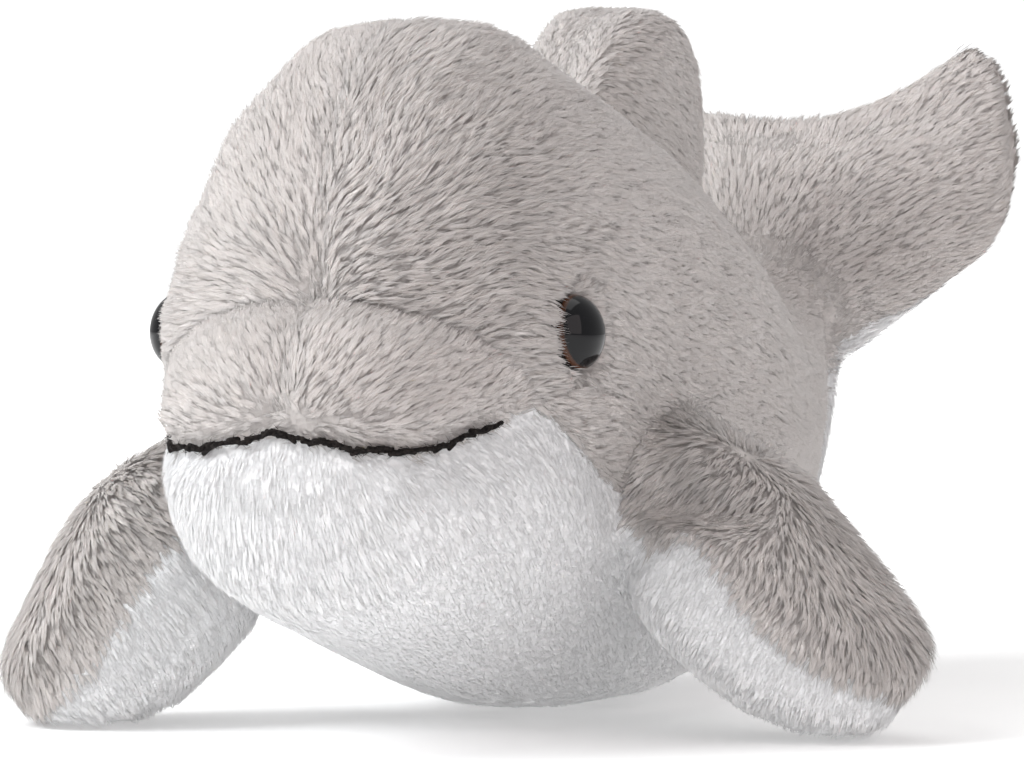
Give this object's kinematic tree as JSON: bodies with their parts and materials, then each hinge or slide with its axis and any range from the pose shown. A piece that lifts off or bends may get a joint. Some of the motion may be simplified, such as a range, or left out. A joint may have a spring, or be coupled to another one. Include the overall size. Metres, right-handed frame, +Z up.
{
  "type": "plush dolphin",
  "caption": "Sewn plush dolphin lying on its belly, gray above and white below, with stuffed flippers, back fin and raised fluke, and glossy safety eyes.",
  "frame": {"origin": "middle of the belly's flat spot, where it rests on the floor", "axes": "+Z up, the beak points along -Y, the dolphin's left side is +X"},
  "size_m": [0.1538, 0.2277, 0.1224],
  "materials": {
    "gray_pile": "short plush pile",
    "white_pile": "short plush pile",
    "stuffing": "loose fibre filling",
    "eye_plastic": "polished, dark pupil with a brown iris",
    "washer_plastic": "matte"
  },
  "bodies": {
    "root": {"left_beak_panel": "gray_pile", "right_beak_panel": "gray_pile", "left_back_panel": "gray_pile", "right_back_panel": "gray_pile", "belly_panel": "white_pile", "fluke_front_panel": "gray_pile", "fluke_back_panel": "white_pile", "body_stuffing": "stuffing", "fluke_stuffing": "stuffing", "left_fin_panel": "gray_pile", "right_fin_panel": "gray_pile", "fin_stuffing": "stuffing", "left_flipper_outer_panel": "gray_pile", "left_flipper_inner_panel": "white_pile", "left_flipper_stuffing": "stuffing", "right_flipper_outer_panel": "gray_pile", "right_flipper_inner_panel": "white_pile", "right_flipper_stuffing": "stuffing", "left_eye": "eye_plastic", "right_eye": "eye_plastic", "left_eye_washer": "washer_plastic", "right_eye_washer": "washer_plastic"}
  },
  "joints": []
}
